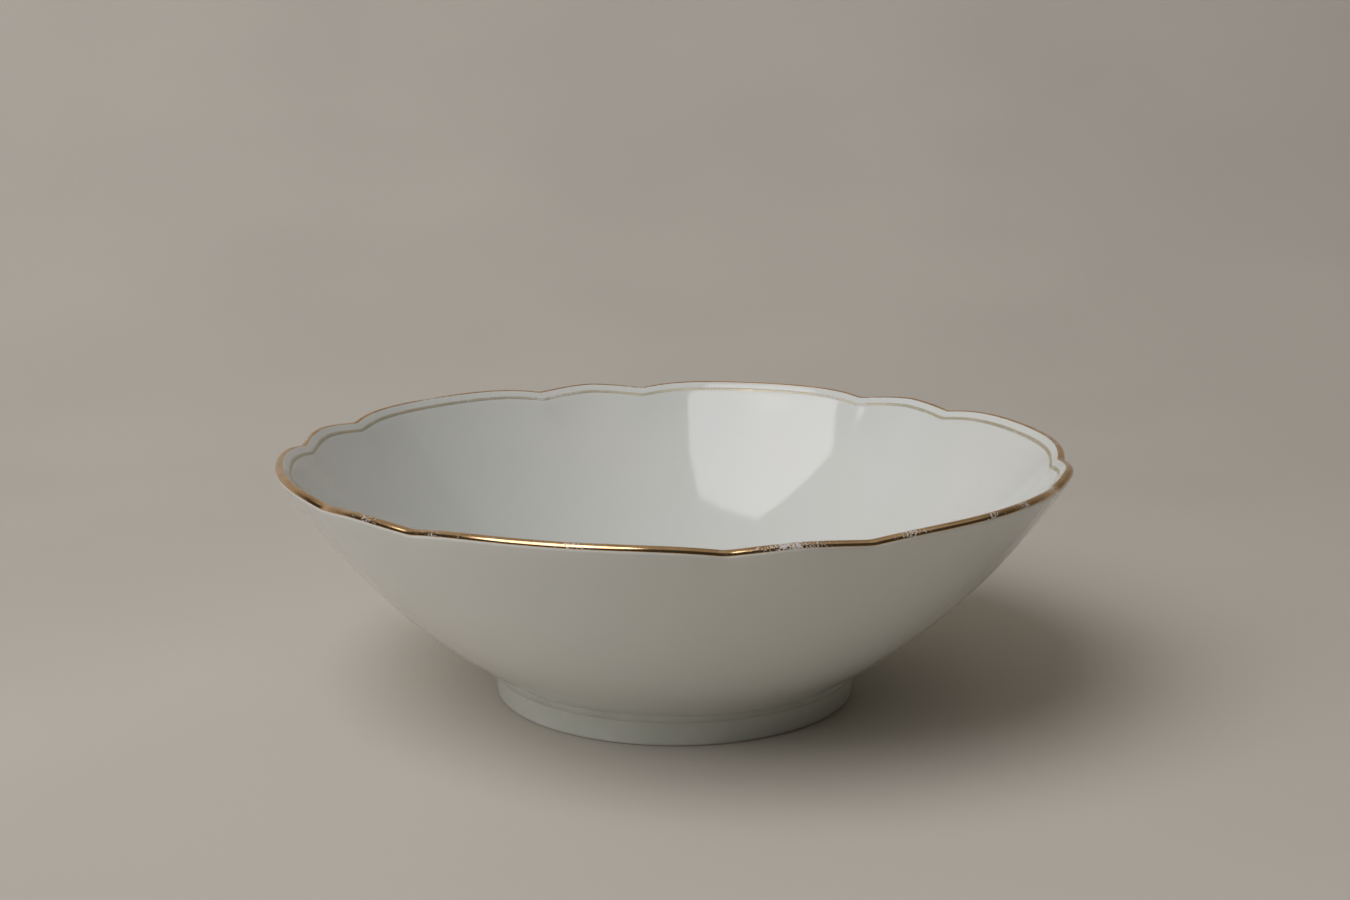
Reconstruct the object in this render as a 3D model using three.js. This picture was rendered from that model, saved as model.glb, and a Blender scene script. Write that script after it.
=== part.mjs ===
import * as THREE from 'three';
import { mergeVertices } from 'three/addons/utils/BufferGeometryUtils.js';

// A porcelain serving bowl: a flared body with a scalloped lip, a foot ring luted on with
// slip, gilding over the lip and a fine gilt line inside it. Millimetres, +Z up. The foot
// stands on z = 0 with the bowl's axis on x = y = 0, and -Y is the front.

// Lip: a half-round edge. These sizes hold at the notches of the scalloped edge.
const lipCentre = new THREE.Vector2(116.55, 72.85);
const lipRadius = 1.45;
const outerSlope = THREE.MathUtils.degToRad(59);
const borderSlope = THREE.MathUtils.degToRad(48);
const borderWidth = 3.5;

// Scalloped edge: long and short lobes in turn, with a notch between each two.
const lobePairs = 6;
const shortLobeCentre = THREE.MathUtils.degToRad(15.5);
const shortLobeHalf = THREE.MathUtils.degToRad(9.5);
const shortLobeShare = 0.84;
const shortLobePower = 1.5;
const longLobePower = 4;
const scallopOut = 2.1;
const scallopRise = 1.9;
const scallopDepth = 20;

// Wall and floor of the body.
const wallFoot = new THREE.Vector2(57.4, 9.8);
const wallBulge = 5.2;
const innerBulge = 4.2;
const floorRadius = 48;
const floorHeight = 11.4;
const floorCurve = 16;
const innerFootSlope = THREE.MathUtils.degToRad(33);
const undersideHeight = 7.8;

// Foot ring and the slip that joins it to the body.
const seatHeight = 9.5;
const seatInner = 49.2;
const seatOuter = 57.1;
const footTop = 7.4;
const footTopInner = 49.9;
const footTopOuter = 56.4;
const footEdge = 1.2;
const footEdgeInner = 51.2;
const footEdgeOuter = 55.9;
const standInner = 52.2;
const standOuter = 54.9;
const slipInner = 49.6;
const slipOuter = 56.9;
const slipWaist = 56.4;

// Gilding, stood in for by a film thick enough to be a solid, let in flush with the glaze.
// The edges of the gilding over the lip are directions from the middle of the half-round,
// counted from level on the outside.
const filmThickness = 0.35;
const jointGap = 0.25;
const gildOuterEdge = THREE.MathUtils.degToRad(4);
const gildInnerEdge = THREE.MathUtils.degToRad(125);
const giltLineStart = 1.9;
const giltLineWidth = 1.2;

// Facets.
const shortLobeFacets = 4;
const longLobeFacets = 8;
const wallSteps = 9;
const lipSteps = 6;
const floorSteps = 3;
const belowSteps = 2;

const lobePitch = (2 * Math.PI) / lobePairs;
const facetsPerPair = shortLobeFacets + longLobeFacets;
const facets = facetsPerPair * lobePairs;
const filmBed = filmThickness + jointGap;

// Angle of one facet's edge about the axis, from the front towards +X. The facets are
// spread so that every notch falls on an edge.
function facetAngle(index) {
  const pair = Math.floor(index / facetsPerPair);
  const step = index % facetsPerPair;
  const firstNotch = shortLobeCentre - shortLobeHalf + pair * lobePitch;
  if (step <= shortLobeFacets) {
    return firstNotch + (step / shortLobeFacets) * 2 * shortLobeHalf;
  }
  const share = (step - shortLobeFacets) / longLobeFacets;
  return firstNotch + 2 * shortLobeHalf + share * (lobePitch - 2 * shortLobeHalf);
}

// How far the edge stands out at an angle: 0 at a notch, 1 in the middle of a long lobe.
function lobeShape(angle) {
  const turn = angle - shortLobeCentre + lobePitch / 2;
  const fromShort = Math.abs(THREE.MathUtils.euclideanModulo(turn, lobePitch) - lobePitch / 2);
  if (fromShort < shortLobeHalf) {
    return shortLobeShare * (1 - (fromShort / shortLobeHalf) ** shortLobePower);
  }
  const fromLong = lobePitch / 2 - fromShort;
  return 1 - (fromLong / (lobePitch / 2 - shortLobeHalf)) ** longLobePower;
}

// A point of the profile is carried out and up with the lobes near the lip, and left alone
// further down the wall.
function scalloped(point, angle) {
  const top = lipCentre.y;
  const share = THREE.MathUtils.smoothstep(point.y, top - scallopDepth, top) * lobeShape(angle);
  return new THREE.Vector2(point.x + scallopOut * share, point.y + scallopRise * share);
}

// Turns a profile of (radius, height) points into a closed solid about +Z.
function turned(profile) {
  const geometry = new THREE.LatheGeometry(profile, facets);
  const position = geometry.getAttribute('position');
  for (let facet = 0; facet <= facets; facet += 1) {
    const angle = facetAngle(facet % facets);
    profile.forEach((point, row) => {
      const moved = scalloped(point, angle);
      const vertex = facet * profile.length + row;
      position.setXYZ(vertex, moved.x * Math.sin(angle), -moved.x * Math.cos(angle), moved.y);
    });
  }
  geometry.deleteAttribute('normal');
  geometry.deleteAttribute('uv');
  const merged = mergeVertices(geometry, 1e-4);
  merged.computeVertexNormals();
  return merged;
}

function closedRing(profile) {
  return turned([...profile, profile[0].clone()]);
}

function named(name, geometry, material) {
  const mesh = new THREE.Mesh(geometry, material);
  mesh.name = name;
  return mesh;
}

// Points along the arc from one point to another that stands `bulge` off their chord, on
// the right-hand side of the way from the first to the second.
function arcBetween(from, to, bulge, steps) {
  const chord = to.clone().sub(from);
  const radius = (chord.lengthSq() / 4 + bulge * bulge) / (2 * bulge);
  const left = new THREE.Vector2(-chord.y, chord.x).normalize();
  const middle = from.clone().add(to).multiplyScalar(0.5);
  const centre = middle.addScaledVector(left, radius - bulge);
  const start = from.clone().sub(centre).angle();
  const end = to.clone().sub(centre).angle();
  return new THREE.ArcCurve(centre.x, centre.y, radius, start, end, false).getPoints(steps);
}

// A point of the border that slopes down from the lip to the inner wall, `reach` below the
// half-round and `inset` under the surface.
function borderPoint(reach, inset) {
  const out = lipRadius - inset;
  return new THREE.Vector2(
    lipCentre.x - out * Math.sin(borderSlope) - reach * Math.cos(borderSlope),
    lipCentre.y + out * Math.cos(borderSlope) - reach * Math.sin(borderSlope),
  );
}

// Over the half-round from one direction to another, `inset` under the finished surface.
function overLip(start, end, inset, steps) {
  const round = new THREE.ArcCurve(lipCentre.x, lipCentre.y, lipRadius - inset, start, end, false);
  return round.getPoints(steps);
}

// Floor inside the bowl, from the end of its flat up to the foot of the inner wall.
function floorProfile() {
  const quarter = -Math.PI / 2;
  const centreHeight = floorHeight + floorCurve;
  const curve = new THREE.ArcCurve(floorRadius, centreHeight, floorCurve, quarter, quarter + innerFootSlope, false);
  return curve.getPoints(floorSteps);
}

function bodyProfile() {
  const rebateStart = gildOuterEdge - jointGap / lipRadius;
  const belowGilding = overLip(outerSlope - Math.PI / 2, rebateStart, 0, belowSteps);
  const grooveStart = giltLineStart - jointGap;
  const grooveEnd = giltLineStart + giltLineWidth + jointGap;
  const floor = floorProfile();
  const innerWall = arcBetween(floor[floor.length - 1], borderPoint(borderWidth, 0), innerBulge, wallSteps);
  return [
    new THREE.Vector2(0, undersideHeight),
    new THREE.Vector2(seatInner, undersideHeight),
    new THREE.Vector2(seatInner, seatHeight),
    new THREE.Vector2(seatOuter, seatHeight),
    ...arcBetween(wallFoot, belowGilding[0], wallBulge, wallSteps),
    ...belowGilding.slice(1),
    ...overLip(rebateStart, borderSlope + Math.PI / 2, filmBed, lipSteps),
    borderPoint(0, 0),
    borderPoint(grooveStart, 0),
    borderPoint(grooveStart, filmBed),
    borderPoint(grooveEnd, filmBed),
    borderPoint(grooveEnd, 0),
    ...innerWall.reverse(),
    ...floor.slice(0, -1).reverse(),
    new THREE.Vector2(0, floorHeight),
  ];
}

function slipJointProfile() {
  const top = seatHeight - jointGap;
  const bottom = footTop + jointGap;
  return [
    new THREE.Vector2(slipInner, bottom),
    new THREE.Vector2(slipWaist, bottom),
    new THREE.Vector2(slipWaist, (top + bottom) / 2),
    new THREE.Vector2(slipOuter, top),
    new THREE.Vector2(slipInner, top),
  ];
}

function footRingProfile() {
  const easedHeight = footEdge * 0.3;
  const outerEase = footEdgeOuter - (footEdgeOuter - standOuter) * 0.3;
  const innerEase = footEdgeInner + (standInner - footEdgeInner) * 0.3;
  return [
    new THREE.Vector2(standInner, 0),
    new THREE.Vector2(standOuter, 0),
    new THREE.Vector2(outerEase, easedHeight),
    new THREE.Vector2(footEdgeOuter, footEdge),
    new THREE.Vector2(footTopOuter, footTop),
    new THREE.Vector2(footTopInner, footTop),
    new THREE.Vector2(footEdgeInner, footEdge),
    new THREE.Vector2(innerEase, easedHeight),
  ];
}

function rimGildingProfile() {
  const face = overLip(gildOuterEdge, gildInnerEdge, 0, lipSteps);
  const back = overLip(gildOuterEdge, gildInnerEdge, filmThickness, lipSteps);
  return [...face, ...back.reverse()];
}

function giltLineProfile() {
  const end = giltLineStart + giltLineWidth;
  return [
    borderPoint(giltLineStart, 0),
    borderPoint(end, 0),
    borderPoint(end, filmThickness),
    borderPoint(giltLineStart, filmThickness),
  ];
}

const glazedPorcelain = new THREE.MeshStandardMaterial({ color: 0xdcdcd4, roughness: 0.12, metalness: 0 });
const glazedFoot = new THREE.MeshStandardMaterial({ color: 0xd2d6cc, roughness: 0.16, metalness: 0 });
const firedSlip = new THREE.MeshStandardMaterial({ color: 0xd8d4c6, roughness: 0.3, metalness: 0 });
const burnishedGold = new THREE.MeshStandardMaterial({ color: 0xb98f52, roughness: 0.25, metalness: 1 });
const paintedGold = new THREE.MeshStandardMaterial({ color: 0xa98552, roughness: 0.4, metalness: 1 });

const bowl = new THREE.Group();
bowl.add(named('porcelain_body', turned(bodyProfile()), glazedPorcelain));
bowl.add(named('slip_joint', closedRing(slipJointProfile()), firedSlip));
bowl.add(named('foot_ring', closedRing(footRingProfile()), glazedFoot));
bowl.add(named('rim_gilding', closedRing(rimGildingProfile()), burnishedGold));
bowl.add(named('inner_gilt_line', closedRing(giltLineProfile()), paintedGold));

export default bowl;
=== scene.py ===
import math

import bmesh
import bpy
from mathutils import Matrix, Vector


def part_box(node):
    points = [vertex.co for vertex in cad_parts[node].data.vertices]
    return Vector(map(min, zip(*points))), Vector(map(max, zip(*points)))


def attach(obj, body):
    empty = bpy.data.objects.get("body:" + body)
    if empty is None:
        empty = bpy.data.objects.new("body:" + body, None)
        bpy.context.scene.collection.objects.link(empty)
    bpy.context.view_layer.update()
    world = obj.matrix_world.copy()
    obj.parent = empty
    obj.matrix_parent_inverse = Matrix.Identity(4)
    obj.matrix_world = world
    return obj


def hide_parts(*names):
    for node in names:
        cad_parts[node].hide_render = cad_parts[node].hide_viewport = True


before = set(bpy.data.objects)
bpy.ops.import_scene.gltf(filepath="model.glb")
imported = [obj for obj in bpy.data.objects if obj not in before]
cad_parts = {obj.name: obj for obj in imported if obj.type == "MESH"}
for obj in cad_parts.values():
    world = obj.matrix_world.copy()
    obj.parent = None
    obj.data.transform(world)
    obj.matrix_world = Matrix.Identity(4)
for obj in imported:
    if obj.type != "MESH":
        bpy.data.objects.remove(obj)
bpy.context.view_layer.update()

mm = 0.001
mergeDistance = 1e-6
driftLevels = (0.3, 0.7)    # noise between these levels makes the whole change of a drifting tone


def newNode(tree, kind, inputs=None, **settings):
    node = tree.nodes.new(kind)
    count = len(tree.nodes)
    node.location = (count % 12 * 190, -(count // 12) * 260)
    for name, value in settings.items():
        setattr(node, name, value)
    for name, value in (inputs or {}).items():
        feed(tree, node.inputs[name], value)
    return node


def feed(tree, socket, value):  # links a socket, or sets a plain value
    if isinstance(value, bpy.types.NodeSocket):
        tree.links.new(value, socket)
    else:
        socket.default_value = value


def calc(tree, operation, *values, clamp=False):
    node = newNode(tree, "ShaderNodeMath", operation=operation, use_clamp=clamp)
    for socket, value in zip(node.inputs, values):
        feed(tree, socket, value)
    return node.outputs[0]


def ramp(tree, value, low, high, toLow=0.0, toHigh=1.0):  # eased change between two values
    node = newNode(tree, "ShaderNodeMapRange", interpolation_type="SMOOTHSTEP")
    for socket, given in zip(node.inputs, (value, low, high, toLow, toHigh)):
        feed(tree, socket, given)
    return node.outputs[0]


def blendColour(tree, factor, first, second, way="MIX"):
    node = newNode(tree, "ShaderNodeMix", data_type="RGBA", blend_type=way)
    for place, value in ((0, factor), (6, first), (7, second)):  # 6 and 7 are its colour inputs
        feed(tree, node.inputs[place], value)
    return node.outputs[2]


def noise(tree, where, size, detail=2.0, distortion=0.0, seed=0.0):  # size of a feature in metres
    scale = calc(tree, "DIVIDE", 1.0, size) if isinstance(size, bpy.types.NodeSocket) else 1.0 / size
    node = newNode(tree, "ShaderNodeTexNoise", {"Vector": where, "W": seed, "Scale": scale,
                                                "Detail": detail, "Distortion": distortion},
                   noise_dimensions="4D")
    return node.outputs[0]


def newGroup(name, kind, inputs, outputs):
    tree = bpy.data.node_groups.new(name, kind)
    for label, (socketType, value) in inputs.items():
        socket = tree.interface.new_socket(label, in_out="INPUT", socket_type="NodeSocket" + socketType)
        if value is not None:
            socket.default_value = value
    for label, socketType in outputs.items():
        tree.interface.new_socket(label, in_out="OUTPUT", socket_type="NodeSocket" + socketType)
    start = tree.nodes.new("NodeGroupInput")
    end = tree.nodes.new("NodeGroupOutput")
    start.location = (-240, 0)
    end.location = (2500, 0)
    return tree, start.outputs, end.inputs


def useGroup(tree, group, inputs):
    node = newNode(tree, "ShaderNodeGroup", node_tree=group)
    for name, value in inputs.items():
        feed(tree, node.inputs[name], value)
    return node.outputs


def ringSize(node):
    points = [vertex.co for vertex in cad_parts[node].data.vertices]
    radii = [math.hypot(point.x, point.y) for point in points]
    low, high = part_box(node)
    return {"inner": min(radii), "outer": max(radii), "low": low.z, "high": high.z}


bodySize = ringSize("porcelain_body")
slipSize = ringSize("slip_joint")
footSize = ringSize("foot_ring")
gildSize = ringSize("rim_gilding")

scallop = {
    "lobePairs": 6,
    "shortLobeCentre": math.radians(15.5),  # from the front towards +X
    "shortLobeHalf": math.radians(9.5),
    "shortLobeShare": 0.84,
    "shortLobePower": 1.5,
    "longLobePower": 4.0,
    "notchSoftness": 0.09,
    "out": 2.1 * mm,
    "rise": 1.9 * mm,
    "depth": 20 * mm,
    "warp": 0.12 * mm,      # kiln warp of the lip
    "warpSize": 0.9,        # as a share of the bowl's radius
    "warpGain": 4.0,        # noise stays near its middle, so it is stretched
    "warpSeed": 3.0,
}

lip = {
    "radius": 1.45 * mm,
    "outerSlope": math.radians(59),
    "borderSlope": math.radians(48),
    "borderWidth": 3.5 * mm,
}
lipCentre = Vector((gildSize["outer"] - scallop["out"] - lip["radius"],
                    gildSize["high"] - scallop["rise"] - lip["radius"]))


# outlines are lists of (radius, height) points, in metres

def arcPoints(centre, radius, start, end, steps):
    turns = [start + (end - start) * step / steps for step in range(steps + 1)]
    return [Vector((centre[0] + radius * math.cos(turn), centre[1] + radius * math.sin(turn)))
            for turn in turns]


def arcBetween(first, last, bulge, steps):  # stands off its chord, on the right of the way along it
    chord = last - first
    radius = (chord.length_squared / 4 + bulge * bulge) / (2 * bulge)
    left = Vector((-chord.y, chord.x)).normalized()
    centre = (first + last) / 2 + left * (radius - bulge)
    start = math.atan2(first.y - centre.y, first.x - centre.x)
    end = math.atan2(last.y - centre.y, last.x - centre.x)
    return arcPoints(centre, radius, start, end, steps)


def eased(first, corner, last, steps):  # rounds a corner off
    shares = [step / steps for step in range(steps + 1)]
    return [first * (1 - t) ** 2 + corner * 2 * t * (1 - t) + last * t * t for t in shares]


def straight(first, last, steps):
    return [first.lerp(last, step / steps) for step in range(steps + 1)]


def borderPoint(reach, rise=0.0):  # inside the lip: reach down the border, rise above the glaze
    out, slope = lip["radius"] + rise, lip["borderSlope"]
    return lipCentre + Vector((-out * math.sin(slope) - reach * math.cos(slope),
                               out * math.cos(slope) - reach * math.sin(slope)))


# round the lip from the outside in, the whole half-round unless told otherwise
def overLip(rise, steps, start=lip["outerSlope"] - math.pi / 2, end=lip["borderSlope"] + math.pi / 2):
    return arcPoints(lipCentre, lip["radius"] + rise, start, end, steps)


def scallopTree():  # the turned, scalloped form that every piece shares
    tree, given, result = newGroup("scallopedTurning", "GeometryNodeTree", {
        "Outline": ("Geometry", None),
        "Steps Round": ("Int", 720),
        "Lobe Pairs": ("Int", 6),
        "Short Lobe Centre": ("Float", 0.0),
        "Short Lobe Half": ("Float", 0.1),
        "Short Lobe Share": ("Float", 0.8),
        "Short Lobe Power": ("Float", 1.5),
        "Long Lobe Power": ("Float", 4.0),
        "Notch Softness": ("Float", 0.1),
        "Scallop Out": ("Float", 0.0),
        "Scallop Rise": ("Float", 0.0),
        "Scallop Depth": ("Float", 0.02),
        "Lip Height": ("Float", 0.07),
        "Warp": ("Float", 0.0),
        "Warp Seed": ("Float", 0.0),
        "Finish": ("Material", None),
    }, {"Piece": "Geometry"})

    # the outline remembers its own radius and height, and the circle its angle
    outline = newNode(tree, "GeometryNodeMeshToCurve", {"Mesh": given["Outline"]})
    spot = newNode(tree, "GeometryNodeInputPosition").outputs[0]
    outline = newNode(tree, "GeometryNodeStoreNamedAttribute",
                      {"Geometry": outline.outputs[0], "Name": "section", "Value": spot},
                      data_type="FLOAT_VECTOR", domain="POINT")
    circle = newNode(tree, "GeometryNodeCurvePrimitiveCircle", {"Resolution": given["Steps Round"]})
    number = newNode(tree, "GeometryNodeInputIndex").outputs[0]
    turn = calc(tree, "DIVIDE", number, given["Steps Round"])
    circle = newNode(tree, "GeometryNodeStoreNamedAttribute",
                     {"Geometry": circle.outputs[0], "Name": "turn", "Value": turn},
                     data_type="FLOAT", domain="POINT")
    skin = newNode(tree, "GeometryNodeCurveToMesh",
                   {"Curve": circle.outputs[0], "Profile Curve": outline.outputs[0]})

    section = newNode(tree, "GeometryNodeInputNamedAttribute", {"Name": "section"},
                      data_type="FLOAT_VECTOR").outputs[0]
    turn = newNode(tree, "GeometryNodeInputNamedAttribute", {"Name": "turn"},
                   data_type="FLOAT").outputs[0]
    radius, _, height = newNode(tree, "ShaderNodeSeparateXYZ", {0: section}).outputs
    angle = calc(tree, "MULTIPLY", turn, 2 * math.pi)

    # how far the edge stands out at this angle: 0 at a notch, 1 in the middle of a long lobe
    pitch = calc(tree, "DIVIDE", 2 * math.pi, given["Lobe Pairs"])
    halfPitch = calc(tree, "MULTIPLY", pitch, 0.5)
    along = calc(tree, "DIVIDE", calc(tree, "SUBTRACT", angle, given["Short Lobe Centre"]), pitch)
    along = calc(tree, "FRACT", calc(tree, "ADD", along, 1.5))  # 0.5 in the middle of a short lobe
    fromShort = calc(tree, "ABSOLUTE", calc(tree, "SUBTRACT", along, 0.5))
    fromShort = calc(tree, "MULTIPLY", fromShort, pitch)
    shortPart = calc(tree, "DIVIDE", fromShort, given["Short Lobe Half"])
    shortLobe = calc(tree, "SUBTRACT", 1.0, calc(tree, "POWER", shortPart, given["Short Lobe Power"]))
    shortLobe = calc(tree, "MULTIPLY", shortLobe, given["Short Lobe Share"])
    longPart = calc(tree, "DIVIDE", calc(tree, "SUBTRACT", halfPitch, fromShort),
                    calc(tree, "SUBTRACT", halfPitch, given["Short Lobe Half"]))
    longLobe = calc(tree, "SUBTRACT", 1.0, calc(tree, "POWER", longPart, given["Long Lobe Power"]))
    lobe = calc(tree, "MAXIMUM", shortLobe, longLobe)  # each is below 0 outside its own lobe

    # the notch is rounded: sqrt(lobe^2 + s^2) - s, brought back to 1 at the top
    soft = given["Notch Softness"]
    rounded = calc(tree, "MULTIPLY_ADD", lobe, lobe, calc(tree, "MULTIPLY", soft, soft))
    rounded = calc(tree, "SQRT", rounded)
    full = calc(tree, "SQRT", calc(tree, "MULTIPLY_ADD", soft, soft, 1.0))
    lobe = calc(tree, "SUBTRACT", rounded, soft)
    lobe = calc(tree, "DIVIDE", lobe, calc(tree, "SUBTRACT", full, soft))

    bottom = calc(tree, "SUBTRACT", given["Lip Height"], given["Scallop Depth"])
    nearLip = ramp(tree, height, bottom, given["Lip Height"])
    lobe = calc(tree, "MULTIPLY", lobe, nearLip)
    sine, cosine = calc(tree, "SINE", angle), calc(tree, "COSINE", angle)
    ringSpot = newNode(tree, "ShaderNodeCombineXYZ", {0: sine, 1: cosine}).outputs[0]
    sway = noise(tree, ringSpot, scallop["warpSize"], seed=given["Warp Seed"])
    sway = calc(tree, "MULTIPLY", calc(tree, "SUBTRACT", sway, 0.5),
                calc(tree, "MULTIPLY", nearLip, scallop["warpGain"]))
    sway = calc(tree, "MULTIPLY", sway, given["Warp"])
    radius = calc(tree, "ADD", calc(tree, "MULTIPLY_ADD", lobe, given["Scallop Out"], radius), sway)
    height = calc(tree, "ADD", calc(tree, "MULTIPLY_ADD", lobe, given["Scallop Rise"], height), sway)
    back = calc(tree, "MULTIPLY", cosine, -1.0)
    place = newNode(tree, "ShaderNodeCombineXYZ", {0: calc(tree, "MULTIPLY", radius, sine),
                                                   1: calc(tree, "MULTIPLY", radius, back),
                                                   2: height}).outputs[0]

    skin = newNode(tree, "GeometryNodeSetPosition", {"Geometry": skin.outputs[0], "Position": place})
    skin = newNode(tree, "GeometryNodeRemoveAttribute", {"Geometry": skin.outputs[0], "Name": "turn"})
    skin = newNode(tree, "GeometryNodeMergeByDistance",
                   {"Geometry": skin.outputs[0], "Distance": mergeDistance})
    skin = newNode(tree, "GeometryNodeRealizeInstances", {"Geometry": skin.outputs[0]})
    skin = newNode(tree, "GeometryNodeSetMaterial",
                   {"Geometry": skin.outputs[0], "Material": given["Finish"]})
    feed(tree, result["Piece"], skin.outputs[0])
    return tree


def setInputs(modifier, values):  # by identifier, since names may repeat
    for item in modifier.node_group.interface.items_tree:
        if item.item_type == "SOCKET" and item.in_out == "INPUT" and item.name in values:
            modifier[item.identifier] = values[item.name]


def turnPiece(name, outline, closed, steps, finish, tree):
    mesh = bpy.data.meshes.new(name + "Outline")
    edges = [(i, i + 1) for i in range(len(outline) - 1)]
    if closed:
        edges.append((len(outline) - 1, 0))
    mesh.from_pydata([(point.x, 0.0, point.y) for point in outline], edges, [])
    piece = bpy.data.objects.new(name, mesh)
    modifier = piece.modifiers.new("turning", "NODES")
    modifier.node_group = tree
    setInputs(modifier, {
        "Steps Round": steps,
        "Lobe Pairs": scallop["lobePairs"],
        "Short Lobe Centre": scallop["shortLobeCentre"],
        "Short Lobe Half": scallop["shortLobeHalf"],
        "Short Lobe Share": scallop["shortLobeShare"],
        "Short Lobe Power": scallop["shortLobePower"],
        "Long Lobe Power": scallop["longLobePower"],
        "Notch Softness": scallop["notchSoftness"],
        "Scallop Out": scallop["out"],
        "Scallop Rise": scallop["rise"],
        "Scallop Depth": scallop["depth"],
        "Lip Height": lipCentre.y,
        "Warp": scallop["warp"],
        "Warp Seed": scallop["warpSeed"],
        "Finish": finish,
    })
    bpy.context.scene.collection.objects.link(piece)
    graph = bpy.context.evaluated_depsgraph_get()
    turned = bpy.data.meshes.new_from_object(piece.evaluated_get(graph), depsgraph=graph)
    turned.name = name
    piece.modifiers.clear()
    piece.data = turned
    tidyMesh(turned)
    print(name, "turned:", sum(len(face.vertices) - 2 for face in turned.polygons), "triangles")
    return piece


def tidyMesh(mesh, sharpAngle=math.radians(35)):
    work = bmesh.new()
    work.from_mesh(mesh)
    bmesh.ops.remove_doubles(work, verts=work.verts, dist=mergeDistance)
    bmesh.ops.recalc_face_normals(work, faces=work.faces)
    for face in work.faces:
        face.smooth = True
    for edge in work.edges:
        edge.smooth = edge.calc_face_angle(0.0) < sharpAngle
    work.to_mesh(mesh)
    work.free()


def joinFrame(piece, node):
    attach(piece, "root")
    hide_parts(node)


def rippleGroup():  # slow waves of a fired glaze, with a finer peel on them
    tree, given, result = newGroup("glazeRipple", "ShaderNodeTree", {
        "Vector": ("Vector", None),
        "Wave Size": ("Float", 14 * mm),
        "Wave Height": ("Float", 0.02 * mm),
        "Peel Size": ("Float", 1.6 * mm),
        "Peel Height": ("Float", 0.002 * mm),
    }, {"Height": "Float"})
    wave = noise(tree, given["Vector"], given["Wave Size"], detail=1.0, seed=1.0)
    peel = noise(tree, given["Vector"], given["Peel Size"], detail=2.0, seed=2.0)
    height = calc(tree, "MULTIPLY", wave, given["Wave Height"])
    feed(tree, result["Height"], calc(tree, "MULTIPLY_ADD", peel, given["Peel Height"], height))
    return tree


leastSpeck = 0.4    # size of the smallest iron speck, as a share of the usual one


def speckGroup():  # iron specks: a few small dots, each in its own cell
    tree, given, result = newGroup("ironSpecks", "ShaderNodeTree", {
        "Vector": ("Vector", None),
        "Spacing": ("Float", 9 * mm),
        "Speck Size": ("Float", 0.18 * mm),
        "Share": ("Float", 0.3),
    }, {"Mask": "Float"})
    cells = newNode(tree, "ShaderNodeTexVoronoi", {
        "Vector": given["Vector"], "Scale": calc(tree, "DIVIDE", 1.0, given["Spacing"])})
    chance, bigness, _ = newNode(tree, "ShaderNodeSeparateColor", {0: cells.outputs["Color"]}).outputs
    reach = calc(tree, "DIVIDE", given["Speck Size"], given["Spacing"])
    reach = calc(tree, "MULTIPLY", reach, calc(tree, "ADD", bigness, leastSpeck))
    dot = ramp(tree, cells.outputs["Distance"], reach, 0.0)
    chosen = calc(tree, "LESS_THAN", chance, given["Share"])
    feed(tree, result["Mask"], calc(tree, "MULTIPLY", dot, chosen))
    return tree


def cloudGroup():  # soft drift between two tones
    tree, given, result = newGroup("toneDrift", "ShaderNodeTree", {
        "Vector": ("Vector", None),
        "Size": ("Float", 40 * mm),
        "First": ("Color", (1, 1, 1, 1)),
        "Second": ("Color", (1, 1, 1, 1)),
    }, {"Color": "Color", "Mask": "Float"})
    drift = noise(tree, given["Vector"], given["Size"], detail=3.0, seed=5.0)
    drift = ramp(tree, drift, *driftLevels)
    feed(tree, result["Color"], blendColour(tree, drift, given["First"], given["Second"]))
    feed(tree, result["Mask"], drift)
    return tree


wearValues = {
    "bareLevel": 0.86,      # flecks of noise above this level are bare
    "edge": 0.04,
    "thinBand": 0.16,       # how far below that level the gold is thin
    "rubbedShare": 0.24,
    "patchScale": 9.0,      # size of a worn patch, in flecks
    "distortion": 0.6,
}


def goldWearGroup():  # 1 where the gold is left, 0 where it has rubbed off to the glaze
    v = wearValues
    tree, given, result = newGroup("goldWear", "ShaderNodeTree", {
        "Vector": ("Vector", None),
        "Rubbed": ("Float", 0.0),
        "Fleck Size": ("Float", 0.5 * mm),
        "Wear": ("Float", 0.3),
    }, {"Gold": "Float", "Thin": "Float"})
    fleck = noise(tree, given["Vector"], given["Fleck Size"], detail=4.0,
                  distortion=v["distortion"], seed=7.0)
    patchSize = calc(tree, "MULTIPLY", given["Fleck Size"], v["patchScale"])
    patch = noise(tree, given["Vector"], patchSize, detail=1.0, seed=8.0)
    load = calc(tree, "MULTIPLY", given["Wear"], patch)
    load = calc(tree, "MULTIPLY_ADD", given["Rubbed"], v["rubbedShare"], load)
    level = calc(tree, "SUBTRACT", v["bareLevel"], load)
    bare = calc(tree, "SUBTRACT", level, v["edge"])
    thin = calc(tree, "SUBTRACT", level, v["thinBand"])
    feed(tree, result["Gold"], ramp(tree, fleck, level, bare))
    feed(tree, result["Thin"], ramp(tree, fleck, thin, level))
    return tree


def objectCoordinates(tree):
    return newNode(tree, "ShaderNodeTexCoord").outputs["Object"]


def sectionHeight(tree):  # height of a point before the lobes moved it
    section = newNode(tree, "ShaderNodeAttribute", attribute_name="section")
    return newNode(tree, "ShaderNodeSeparateXYZ", {0: section.outputs["Vector"]}).outputs["Z"]


def newFinish(name, viewColour):
    finish = bpy.data.materials.new(name)
    finish.use_nodes = True
    finish.diffuse_color = viewColour
    finish.node_tree.nodes.clear()
    tree = finish.node_tree
    shader = newNode(tree, "ShaderNodeBsdfPrincipled")
    output = newNode(tree, "ShaderNodeOutputMaterial", {"Surface": shader.outputs[0]})
    output.location = (2600, 0)
    shader.location = (2300, 0)
    return finish, tree, shader


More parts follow.
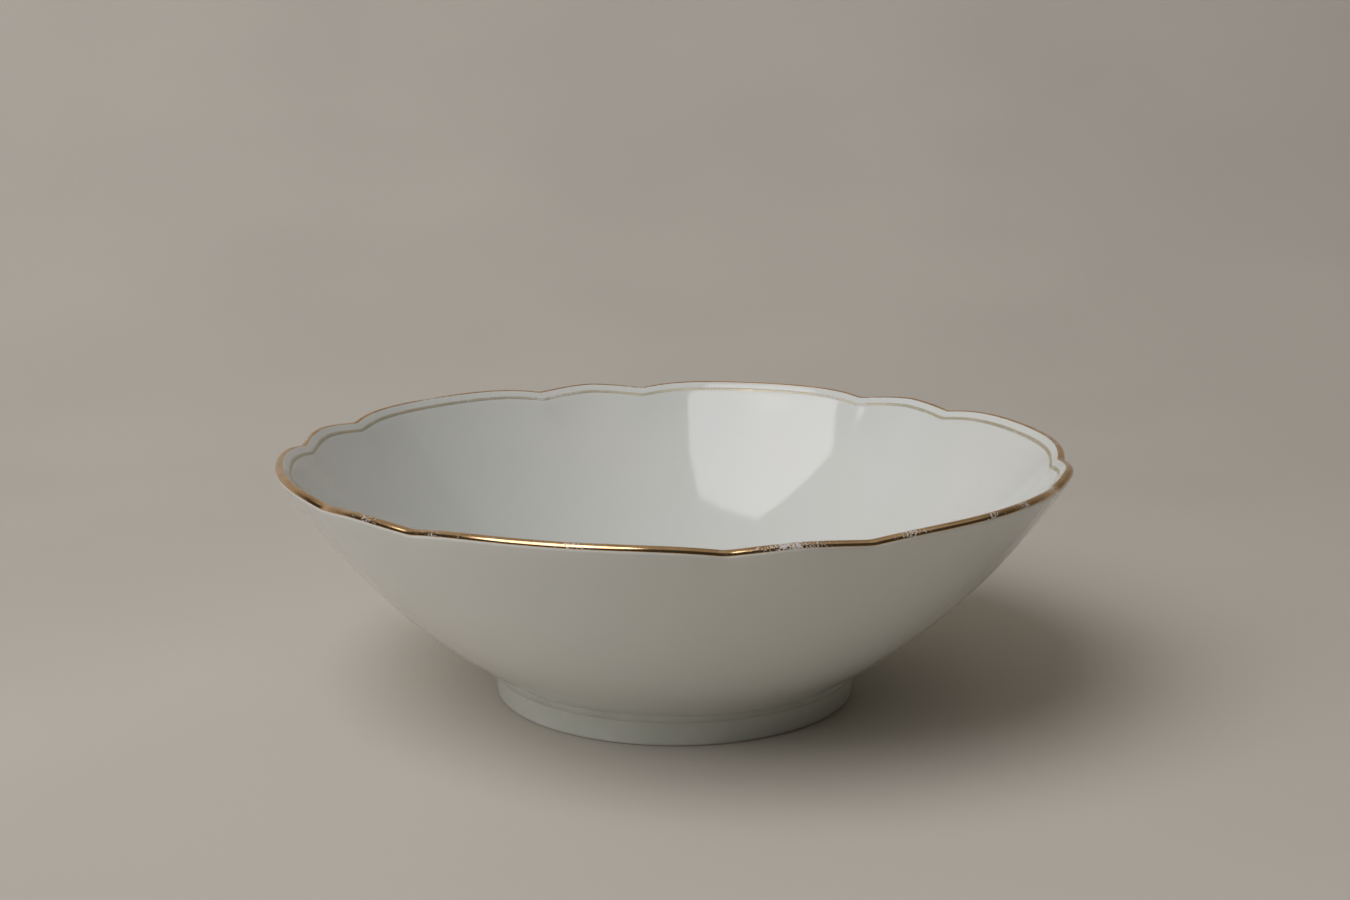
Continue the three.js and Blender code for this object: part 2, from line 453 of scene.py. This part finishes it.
ripple, specks, drift, wear = rippleGroup(), speckGroup(), cloudGroup(), goldWearGroup()
glazeIor = 1.5


def surfaceHeight(tree, spot, waves):  # size and height of the waves, then of the peel
    labels = ("Wave Size", "Wave Height", "Peel Size", "Peel Height")
    return useGroup(tree, ripple, {"Vector": spot, **dict(zip(labels, waves))})["Height"]


def addBump(tree, shader, height):
    bump = newNode(tree, "ShaderNodeBump", {"Height": height, "Distance": 1.0, "Strength": 1.0})
    feed(tree, shader.inputs["Normal"], bump.outputs[0])


bodyValues = {
    "wallFoot": Vector((slipSize["outer"] + 0.5 * mm, slipSize["high"] + 0.55 * mm)),
    "seatGap": 0.25 * mm,
    "seatInnerLap": 0.4 * mm,
    "seatOuterLap": 0.2 * mm,
    "wallBulge": 5.2 * mm,
    "innerBulge": 4.2 * mm,
    "floorRadius": 48 * mm,
    "floorThickness": 3.6 * mm,
    "floorCurve": 16 * mm,
    "innerFootSlope": math.radians(33),
    "undersideDome": 0.5 * mm,
    "borderBend": 1.3 * mm,     # over which the border turns into the wall
    "domeSteps": 6,
    "floorSteps": 7,
    "wallSteps": 34,
    "lipSteps": 14,
    "borderSteps": 3,
    "bendSteps": 5,
    "stepsRound": 720,
    "whiteWarm": (0.755, 0.762, 0.712, 1),
    "whiteCool": (0.735, 0.758, 0.722, 1),
    "toneSize": 45 * mm,
    "speckColour": (0.12, 0.09, 0.06, 1),
    "speckSpacing": 13 * mm,
    "speckSize": 0.16 * mm,
    "speckShare": 0.22,
    "speckStrength": 0.55,
    "markSpacing": 11 * mm,     # marks left by cutlery on the floor of the bowl
    "markBends": 1.5,
    "markLines": 9.0,
    "markWidth": 0.02,
    "markBreaks": 5 * mm,
    "markBreakLevels": (0.45, 0.6),
    "marksGone": bodySize["low"] + 12 * mm,     # heights where they end and where they are full
    "marksFull": bodySize["low"] + 3 * mm,
    "markRoughness": 0.2,
    "roughness": 0.055,
    "roughnessDrift": 0.03,
    "waves": (16 * mm, 0.035 * mm, 1.7 * mm, 0.0012 * mm),
    "scatter": 0.06,
    "scatterRadius": (1.0, 0.9, 0.8),
    "scatterScale": 2 * mm,
}


def bodyOutline():
    v = bodyValues
    seatHeight = slipSize["high"] + v["seatGap"]
    seatInner = slipSize["inner"] - v["seatInnerLap"]
    seatOuter = slipSize["outer"] + v["seatOuterLap"]
    underside = bodySize["low"]
    floorHeight = underside + v["floorThickness"]
    shares = [i / v["domeSteps"] for i in range(v["domeSteps"] + 1)]
    dome = [Vector((seatInner * share, underside + v["undersideDome"] * (1 - share ** 2)))
            for share in shares]
    floorCentre = (v["floorRadius"], floorHeight + v["floorCurve"])
    coveStart = -math.pi / 2
    coveEnd = v["innerFootSlope"] + coveStart
    cove = arcPoints(floorCentre, v["floorCurve"], coveStart, coveEnd, v["floorSteps"])
    innerWall = arcBetween(cove[-1], borderPoint(lip["borderWidth"]), v["innerBulge"], v["wallSteps"])
    innerWall.reverse()
    bendStart = borderPoint(lip["borderWidth"] - v["borderBend"])
    bend = eased(bendStart, innerWall[0], innerWall[1], v["bendSteps"])
    floorEdge, floorMiddle = Vector((v["floorRadius"], floorHeight)), Vector((0, floorHeight))
    halfRound = overLip(0, v["lipSteps"])
    return [
        *dome,
        Vector((seatInner, seatHeight)),
        Vector((seatOuter, seatHeight)),
        *arcBetween(v["wallFoot"], halfRound[0], v["wallBulge"], v["wallSteps"]),
        *halfRound[1:],
        *straight(borderPoint(0), bend[0], v["borderSteps"])[1:-1],
        *bend,
        *innerWall[2:],
        *reversed(cove[:-1]),
        *straight(floorEdge, floorMiddle, v["floorSteps"])[1:],
    ]


def porcelainFinish():
    v = bodyValues
    finish, tree, shader = newFinish("glazedPorcelain", v["whiteWarm"])
    spot = objectCoordinates(tree)
    height = sectionHeight(tree)
    tone = useGroup(tree, drift, {"Vector": spot, "Size": v["toneSize"],
                                  "First": v["whiteWarm"], "Second": v["whiteCool"]})
    dots = useGroup(tree, specks, {"Vector": spot, "Spacing": v["speckSpacing"],
                                   "Speck Size": v["speckSize"], "Share": v["speckShare"]})
    dots = calc(tree, "MULTIPLY", dots["Mask"], v["speckStrength"])
    feed(tree, shader.inputs["Base Color"], blendColour(tree, dots, tone["Color"], v["speckColour"]))
    # cutlery marks: fine curved lines, broken here and there
    marks = noise(tree, spot, v["markSpacing"], detail=1.0, distortion=v["markBends"], seed=11.0)
    marks = calc(tree, "FRACT", calc(tree, "MULTIPLY", marks, v["markLines"]))
    marks = calc(tree, "ABSOLUTE", calc(tree, "SUBTRACT", marks, 0.5))
    marks = ramp(tree, marks, v["markWidth"], 0.0)
    broken = ramp(tree, noise(tree, spot, v["markBreaks"], seed=12.0), *v["markBreakLevels"])
    onFloor = ramp(tree, height, v["marksGone"], v["marksFull"])
    marks = calc(tree, "MULTIPLY", marks, calc(tree, "MULTIPLY", broken, onFloor))
    matt = calc(tree, "MULTIPLY_ADD", tone["Mask"], v["roughnessDrift"], v["roughness"])
    matt = calc(tree, "MULTIPLY_ADD", marks, v["markRoughness"], matt)
    feed(tree, shader.inputs["Roughness"], matt)
    addBump(tree, shader, surfaceHeight(tree, spot, v["waves"]))
    shader.inputs["IOR"].default_value = glazeIor
    shader.inputs["Subsurface Weight"].default_value = v["scatter"]
    shader.inputs["Subsurface Radius"].default_value = v["scatterRadius"]
    shader.inputs["Subsurface Scale"].default_value = v["scatterScale"]
    return finish


footValues = {
    "edgeHeight": 1.2 * mm,
    "edgeInset": 0.5 * mm,
    "standWidth": 2.7 * mm,
    "standInset": 1.5 * mm,
    "innerLean": 1.3 * mm,
    "edgeCorner": 0.1 * mm,
    "standSteps": 4,
    "edgeSteps": 6,
    "sideSteps": 7,
    "topSteps": 2,
    "stepsRound": 480,
    "glazeColour": (0.765, 0.765, 0.70, 1),
    "darkerGlazeColour": (0.66, 0.685, 0.61, 1),
    "biscuitColour": (0.60, 0.56, 0.50, 1),
    "grimeColour": (0.30, 0.27, 0.22, 1),
    "toneSize": 22 * mm,
    "wipeWobble": 0.5 * mm,     # the standing edge is wiped free of glaze by hand before firing
    "wipeSize": 6 * mm,
    "wipeHeight": (0.55 * mm, 0.45 * mm),
    "grainSize": 0.35 * mm,
    "grainHeight": 0.05 * mm,
    "grimeSize": 3 * mm,
    "grimeLevel": (0.4, 0.75),
    "grimeStrength": 0.5,
    "roughness": 0.1,
    "roughnessDrift": 0.05,
    "bareRoughness": 0.85,
    "waves": (9 * mm, 0.03 * mm, 1.4 * mm, 0.002 * mm),
}


def footOutline():
    v = footValues
    topOuter = Vector((footSize["outer"], footSize["high"]))
    topInner = Vector((footSize["inner"], footSize["high"]))
    edgeOuter = Vector((footSize["outer"] - v["edgeInset"], v["edgeHeight"]))
    standOuter = Vector((footSize["outer"] - v["standInset"], 0.0))
    standInner = standOuter - Vector((v["standWidth"], 0.0))
    edgeInner = Vector((footSize["inner"] + v["innerLean"], v["edgeHeight"]))
    outerCorner = Vector((edgeOuter.x - v["edgeCorner"], 0.0))
    innerCorner = Vector((edgeInner.x + v["edgeCorner"], 0.0))
    return [
        *straight(standInner, standOuter, v["standSteps"]),
        *eased(standOuter, outerCorner, edgeOuter, v["edgeSteps"])[1:],
        *straight(edgeOuter, topOuter, v["sideSteps"])[1:],
        *straight(topOuter, topInner, v["topSteps"])[1:],
        *straight(topInner, edgeInner, v["sideSteps"])[1:],
        *eased(edgeInner, innerCorner, standInner, v["edgeSteps"])[1:-1],
    ]


def footFinish():
    v = footValues
    finish, tree, shader = newFinish("glazedFoot", v["glazeColour"])
    spot = objectCoordinates(tree)
    height = sectionHeight(tree)
    tone = useGroup(tree, drift, {"Vector": spot, "Size": v["toneSize"],
                                  "First": v["glazeColour"], "Second": v["darkerGlazeColour"]})
    wobble = noise(tree, spot, v["wipeSize"], detail=2.0, seed=21.0)
    wiped = calc(tree, "MULTIPLY_ADD", wobble, v["wipeWobble"], height)
    bare = ramp(tree, wiped, *v["wipeHeight"])
    grain = noise(tree, spot, v["grainSize"], detail=3.0, seed=22.0)
    grime = ramp(tree, noise(tree, spot, v["grimeSize"], detail=4.0, seed=23.0), *v["grimeLevel"])
    grime = calc(tree, "MULTIPLY", grime, v["grimeStrength"])
    biscuit = blendColour(tree, grime, v["biscuitColour"], v["grimeColour"])
    feed(tree, shader.inputs["Base Color"], blendColour(tree, bare, tone["Color"], biscuit))
    matt = calc(tree, "MULTIPLY_ADD", tone["Mask"], v["roughnessDrift"], v["roughness"])
    feed(tree, shader.inputs["Roughness"], ramp(tree, bare, 0.0, 1.0, matt, v["bareRoughness"]))
    rough = calc(tree, "MULTIPLY", calc(tree, "MULTIPLY", grain, bare), v["grainHeight"])
    addBump(tree, shader, calc(tree, "ADD", surfaceHeight(tree, spot, v["waves"]), rough))
    shader.inputs["IOR"].default_value = glazeIor
    return finish


slipValues = {
    "outerRise": 2.7 * mm,
    "outerOut": 1.35 * mm,
    "innerReach": 2.2 * mm,
    "hollow": 0.25 * mm,        # how far its outer face dips
    "innerHollow": 0.75 * mm,
    "faceLift": 0.02 * mm,
    "footLap": 0.1 * mm,        # how far it laps over the foot, outside and inside
    "innerFootLap": 1.2 * mm,
    "innerLift": 0.2 * mm,
    "undersideLap": 0.06 * mm,
    "wallLap": 0.1 * mm,
    "wallDepth": 1.6 * mm,      # how far its hidden back lies behind its faces
    "footDepth": 0.7 * mm,
    "innerDepth": 0.6 * mm,
    "hiddenTop": 0.4 * mm,
    "faceSteps": 8,
    "stepsRound": 480,
    "glazeColour": (0.745, 0.745, 0.69, 1),
    "darkerGlazeColour": (0.64, 0.66, 0.59, 1),
    "toneSize": 12 * mm,
    "creaseDarkening": 0.35,     # the glaze colour is drawn darker along the two creases of the joint
    "creaseWidth": 0.5 * mm,
    "upperCrease": 0.3 * mm,    # height where the upper one starts, above the slip's CAD solid
    "roughness": 0.12,
    "roughnessDrift": 0.06,
    "waves": (6 * mm, 0.05 * mm, 1.2 * mm, 0.003 * mm),
}


def slipOutline():
    v = slipValues
    footTop = Vector((footSize["outer"] + v["faceLift"], footSize["high"] - v["footLap"]))
    wallSide = footTop + Vector((v["outerOut"], v["outerRise"]))
    footInner = Vector((footSize["inner"] + v["innerLift"], footSize["high"] - v["innerFootLap"]))
    underside = Vector((footSize["inner"] - v["innerReach"], bodySize["low"] + v["undersideLap"]))
    return [
        *arcBetween(footTop, wallSide, v["hollow"], v["faceSteps"]),
        wallSide + Vector((-v["wallDepth"], v["wallLap"])),
        Vector((underside.x, slipSize["high"] - v["hiddenTop"])),
        *arcBetween(underside, footInner, v["innerHollow"], v["faceSteps"]),
        Vector((footInner.x + v["innerDepth"], footInner.y)),
        Vector((footTop.x - v["footDepth"], footTop.y)),
    ]


def slipFinish():
    v = slipValues
    finish, tree, shader = newFinish("firedSlip", v["glazeColour"])
    spot = objectCoordinates(tree)
    height = sectionHeight(tree)
    tone = useGroup(tree, drift, {"Vector": spot, "Size": v["toneSize"],
                                  "First": v["glazeColour"], "Second": v["darkerGlazeColour"]})
    # the colour is painted darker in a band along each of the two creases of the joint, towards the
    # darker glaze tone
    upper = slipSize["high"] + v["upperCrease"]
    low = ramp(tree, height, footSize["high"] + v["creaseWidth"], footSize["high"])
    high = ramp(tree, height, upper, upper + v["creaseWidth"])
    creaseDarkness = calc(tree, "MULTIPLY", calc(tree, "ADD", low, high, clamp=True), v["creaseDarkening"])
    feed(tree, shader.inputs["Base Color"], blendColour(tree, creaseDarkness, tone["Color"], v["darkerGlazeColour"]))
    matt = calc(tree, "MULTIPLY_ADD", tone["Mask"], v["roughnessDrift"], v["roughness"])
    feed(tree, shader.inputs["Roughness"], matt)
    addBump(tree, shader, surfaceHeight(tree, spot, v["waves"]))
    shader.inputs["IOR"].default_value = glazeIor
    return finish


gildValues = {
    "outerEdge": math.radians(4),   # round the lip, from level on the outside
    "innerEdge": math.radians(125),
    "feather": math.radians(4),     # over which its edges thin down to the glaze
    "film": 0.02 * mm,              # how far the gold stands above the glaze
    "bed": 0.15 * mm,
    "faceSteps": 20,
    "backSteps": 8,
    "stepsRound": 720,
    "goldBright": (0.85, 0.575, 0.32, 1),
    "goldDull": (0.62, 0.39, 0.19, 1),
    "worn": (0.66, 0.64, 0.60, 1),
    "metal": 1.0,
    "roughness": 0.10,
    "wear": 0.28,
    "fleckSize": 0.55 * mm,
    # places round the lip where the gold has rubbed: degrees from the front, spread, strength
    "rubbed": [(-43, 2.5, 0.7), (-31, 2.0, 0.5), (-12, 4.0, 0.45), (13.5, 4.5, 1.0), (31, 2.5, 0.7),
               (43.5, 1.5, 0.6), (51, 2.0, 0.6), (96, 6.0, 0.7), (141, 4.0, 0.5), (187, 7.0, 0.6),
               (226, 4.0, 0.8), (262, 5.0, 0.5)],
}


def gildOutline():
    v = gildValues
    start, end = v["outerEdge"], v["innerEdge"]
    outerEdge, innerEdge = overLip(-v["film"], 1, start, end)
    face = overLip(v["film"], v["faceSteps"], start + v["feather"], end - v["feather"])
    back = overLip(-v["bed"], v["backSteps"], start + v["feather"], end - v["feather"])
    return [outerEdge, *face, innerEdge, *reversed(back)]


def markRubbed(piece, places):  # a soft hump at each worn place, kept on the mesh for the finish
    layer = piece.data.attributes.new("rubbed", "FLOAT", "POINT")
    values = []
    for vertex in piece.data.vertices:
        angle = math.degrees(math.atan2(vertex.co.x, -vertex.co.y))
        worst = 0.0
        for centre, spread, strength in places:
            away = (angle - centre + 180) % 360 - 180
            worst = max(worst, strength * math.exp(-(away / spread) ** 2))
        values.append(worst)
    layer.data.foreach_set("value", values)


goldValues = {      # shared by the gilding and the fine line
    "toneSize": 7 * mm,
    "thinShare": 0.7,           # how far thin gold turns to the dull colour
    "thinRoughness": 0.15,
    "roughnessDrift": 0.06,
    "waves": (5 * mm, 0.02 * mm, 0.5 * mm, 0.001 * mm),
    "step": 0.004 * mm,         # at the edge of a bare fleck
}


def goldFinish(name, values):
    v = goldValues
    finish, tree, shader = newFinish(name, values["goldBright"])
    spot = objectCoordinates(tree)
    rubbed = newNode(tree, "ShaderNodeAttribute", attribute_name="rubbed").outputs["Fac"]
    left = useGroup(tree, wear, {"Vector": spot, "Rubbed": rubbed, "Fleck Size": values["fleckSize"],
                                 "Wear": values["wear"]})
    tone = useGroup(tree, drift, {"Vector": spot, "Size": v["toneSize"],
                                  "First": values["goldBright"], "Second": values["goldDull"]})
    dull = calc(tree, "MULTIPLY", left["Thin"], v["thinShare"])
    gold = blendColour(tree, dull, tone["Color"], values["goldDull"])
    feed(tree, shader.inputs["Base Color"], blendColour(tree, left["Gold"], values["worn"], gold))
    feed(tree, shader.inputs["Metallic"], calc(tree, "MULTIPLY", left["Gold"], values["metal"]))
    matt = calc(tree, "MULTIPLY_ADD", left["Thin"], v["thinRoughness"], values["roughness"])
    matt = calc(tree, "MULTIPLY_ADD", tone["Mask"], v["roughnessDrift"], matt)
    feed(tree, shader.inputs["Roughness"], matt)
    height = surfaceHeight(tree, spot, v["waves"])
    step = calc(tree, "MULTIPLY", left["Gold"], v["step"])
    addBump(tree, shader, calc(tree, "ADD", height, step))
    shader.inputs["IOR"].default_value = glazeIor
    return finish


lineValues = {
    "start": 1.9 * mm,
    "width": 1.2 * mm,
    "feather": 0.1 * mm,
    "film": 0.02 * mm,
    "bed": 0.12 * mm,
    "stepsRound": 720,
    "goldBright": (0.69, 0.60, 0.44, 1),
    "goldDull": (0.53, 0.51, 0.39, 1),
    "worn": (0.66, 0.64, 0.58, 1),
    "metal": 0.5,           # painted on thin, so the glaze shows through
    "roughness": 0.4,
    "wear": 0.45,
    "fleckSize": 0.7 * mm,
    "rubbed": [(20, 8, 0.5), (75, 10, 0.4), (150, 14, 0.5), (205, 12, 0.4), (290, 16, 0.5)],
}


def lineOutline():
    v = lineValues
    start, end = v["start"], v["start"] + v["width"]
    return [
        borderPoint(start, -v["film"]),
        borderPoint(start + v["feather"], v["film"]),
        borderPoint(start + v["width"] / 2, v["film"]),
        borderPoint(end - v["feather"], v["film"]),
        borderPoint(end, -v["film"]),
        borderPoint(end - v["feather"], -v["bed"]),
        borderPoint(start + v["feather"], -v["bed"]),
    ]


turning = scallopTree()

porcelain = porcelainFinish()
body = turnPiece("porcelainBody", bodyOutline(), False, bodyValues["stepsRound"], porcelain, turning)
joinFrame(body, "porcelain_body")

foot = turnPiece("footRing", footOutline(), True, footValues["stepsRound"], footFinish(), turning)
joinFrame(foot, "foot_ring")

slip = turnPiece("slipFillet", slipOutline(), True, slipValues["stepsRound"], slipFinish(), turning)
joinFrame(slip, "slip_joint")

rimGold = goldFinish("burnishedGold", gildValues)
gilding = turnPiece("rimGilding", gildOutline(), True, gildValues["stepsRound"], rimGold, turning)
markRubbed(gilding, gildValues["rubbed"])
joinFrame(gilding, "rim_gilding")

lineGold = goldFinish("paintedGold", lineValues)
giltLine = turnPiece("innerGiltLine", lineOutline(), True, lineValues["stepsRound"], lineGold, turning)
markRubbed(giltLine, lineValues["rubbed"])
joinFrame(giltLine, "inner_gilt_line")
print("five pieces made and riding on the frame")


stageValues = {
    "front": -6.0,
    "side": 6.0,
    "coveStart": 0.32,
    "coveRadius": 0.95,
    "coveSteps": 24,
    "top": 2.2,
    "cloth": (0.64, 0.60, 0.53, 1),
    "foldSize": 0.22,
    "foldShade": (0.97, 1.03),
    "roughness": 0.95,
    "specular": 0.1,
}

lightColour = (1.0, 0.985, 1.02, 1)

softboxValues = {
    "aim": Vector((0.03, 0.09, 0.05)),
    "towards": Vector((-0.413, -0.4215, 0.8075)),
    "distance": 2.4,
    "size": 0.98,      # centre to corner
    "corners": 8,
    "roll": math.radians(12.5),
    "strength": 3.2,
    "hotSpot": 0.55,
    "hotShare": 0.38,   # how much of the size it fills
    "inReflections": True,
}

fillValues = {          # a low panel to the left
    "aim": Vector((0.0, 0.0, 0.0)),
    "towards": Vector((-0.78, -0.50, 0.38)),
    "distance": 2.4,
    "size": 0.9,
    "corners": 4,
    "roll": math.radians(45),
    "strength": 2.1,
    "hotSpot": 0.0,
    "hotShare": 0.4,
    "inReflections": False,
}

roomValues = {
    "dark": (0.045, 0.043, 0.04),
    "overhead": (0.345, 0.33, 0.305),
    "seen": (0.33, 0.305, 0.265),
    "lean": math.radians(65),      # the lighter part's middle, above the back horizon
    "spread": math.radians(51),
    "softness": math.radians(5),
}


def stageMaterial():
    v = stageValues
    finish, tree, shader = newFinish("backdropCloth", v["cloth"])
    spot = objectCoordinates(tree)
    fold = noise(tree, spot, v["foldSize"], detail=2.0, seed=31.0)
    tone = ramp(tree, fold, *driftLevels, *v["foldShade"])
    shade = newNode(tree, "ShaderNodeCombineColor", {0: tone, 1: tone, 2: tone}).outputs[0]
    feed(tree, shader.inputs["Base Color"], blendColour(tree, 1.0, v["cloth"], shade, "MULTIPLY"))
    shader.inputs["Roughness"].default_value = v["roughness"]
    shader.inputs["Specular IOR Level"].default_value = v["specular"]
    return finish


def makeBackdrop():
    v = stageValues
    coveCentre = (v["coveStart"], v["coveRadius"])
    bend = arcPoints(coveCentre, v["coveRadius"], -math.pi / 2, 0.0, v["coveSteps"])
    line = [Vector((v["front"], 0.0)), *bend, Vector((v["coveStart"] + v["coveRadius"], v["top"]))]
    corners = [(side, point.x, point.y) for point in line for side in (-v["side"], v["side"])]
    faces = [(2 * i, 2 * i + 1, 2 * i + 3, 2 * i + 2) for i in range(len(line) - 1)]
    mesh = bpy.data.meshes.new("backdrop")
    mesh.from_pydata(corners, [], faces)
    mesh.shade_smooth()
    mesh.materials.append(stageMaterial())
    backdrop = bpy.data.objects.new("backdrop", mesh)
    bpy.context.scene.collection.objects.link(backdrop)


def makeLight(name, v):
    centre = v["aim"] + v["towards"] * v["distance"]
    facing = -v["towards"].normalized()
    across = Vector((0, 0, 1)).cross(facing).normalized()
    upward = facing.cross(across)
    turns = [v["roll"] + 2 * math.pi * i / v["corners"] for i in range(v["corners"])]
    corners = [centre + (across * math.cos(t) + upward * math.sin(t)) * v["size"] for t in turns]
    mesh = bpy.data.meshes.new(name)
    mesh.from_pydata([centre, *corners], [], [(0, 1 + i, 1 + (i + 1) % v["corners"])
                                              for i in range(v["corners"])])
    glow = bpy.data.materials.new(name + "Glow")
    glow.use_nodes = True
    tree = glow.node_tree
    tree.nodes.clear()
    spot = objectCoordinates(tree)
    away = newNode(tree, "ShaderNodeVectorMath", {0: spot, 1: centre},
                   operation="DISTANCE").outputs["Value"]
    centreStrength = v["strength"] * (1 + v["hotSpot"])
    bright = ramp(tree, away, v["size"] * v["hotShare"], 0.0, v["strength"], centreStrength)
    light = newNode(tree, "ShaderNodeEmission", {"Color": lightColour, "Strength": bright})
    newNode(tree, "ShaderNodeOutputMaterial", {"Surface": light.outputs[0]})
    mesh.materials.append(glow)
    light = bpy.data.objects.new(name, mesh)
    light.visible_glossy = v["inReflections"]
    bpy.context.scene.collection.objects.link(light)


def makeRoom():  # dim in front, lighter overhead and behind, plain where it shows past the backdrop
    v = roomValues
    world = bpy.data.worlds.new("studio")
    world.use_nodes = True
    tree = world.node_tree
    tree.nodes.clear()
    direction = newNode(tree, "ShaderNodeTexCoord").outputs["Generated"]
    upAndBack = Vector((0.0, math.cos(v["lean"]), math.sin(v["lean"])))
    facing = newNode(tree, "ShaderNodeVectorMath", {0: direction, 1: upAndBack},
                     operation="DOT_PRODUCT").outputs["Value"]
    share = ramp(tree, facing, math.cos(v["spread"] + v["softness"]),
                 math.cos(v["spread"] - v["softness"]))
    surroundings = blendColour(tree, share, (*v["dark"], 1), (*v["overhead"], 1))
    seen = newNode(tree, "ShaderNodeLightPath").outputs["Is Camera Ray"]
    colour = blendColour(tree, seen, surroundings, (*v["seen"], 1))
    light = newNode(tree, "ShaderNodeBackground", {"Color": colour, "Strength": 1.0})
    newNode(tree, "ShaderNodeOutputWorld", {"Surface": light.outputs[0]})
    bpy.context.scene.world = world


cameraValues = {
    "distance": 542.65 * mm,   # in front of the bowl's axis
    "height": 113.0 * mm,      # above the lip
    "tilt": math.radians(11.9),
    "lens": 48.155,
    "sensor": 36.0,
    "clip": (0.01, 50.0),
}


def makeCamera():
    v = cameraValues
    data = bpy.data.cameras.new("camera")
    data.lens = v["lens"]
    data.sensor_width = v["sensor"]
    data.clip_start, data.clip_end = v["clip"]
    camera = bpy.data.objects.new("camera", data)
    camera.location = (0.0, -v["distance"], gildSize["high"] + v["height"])
    camera.rotation_euler = (math.pi / 2 - v["tilt"], 0.0, 0.0)
    bpy.context.scene.collection.objects.link(camera)
    bpy.context.scene.camera = camera


makeBackdrop()
makeLight("softbox", softboxValues)
makeLight("lowFill", fillValues)
makeRoom()
makeCamera()
bpy.context.scene.view_settings.view_transform = "Standard"
print("stage, light and camera in place")
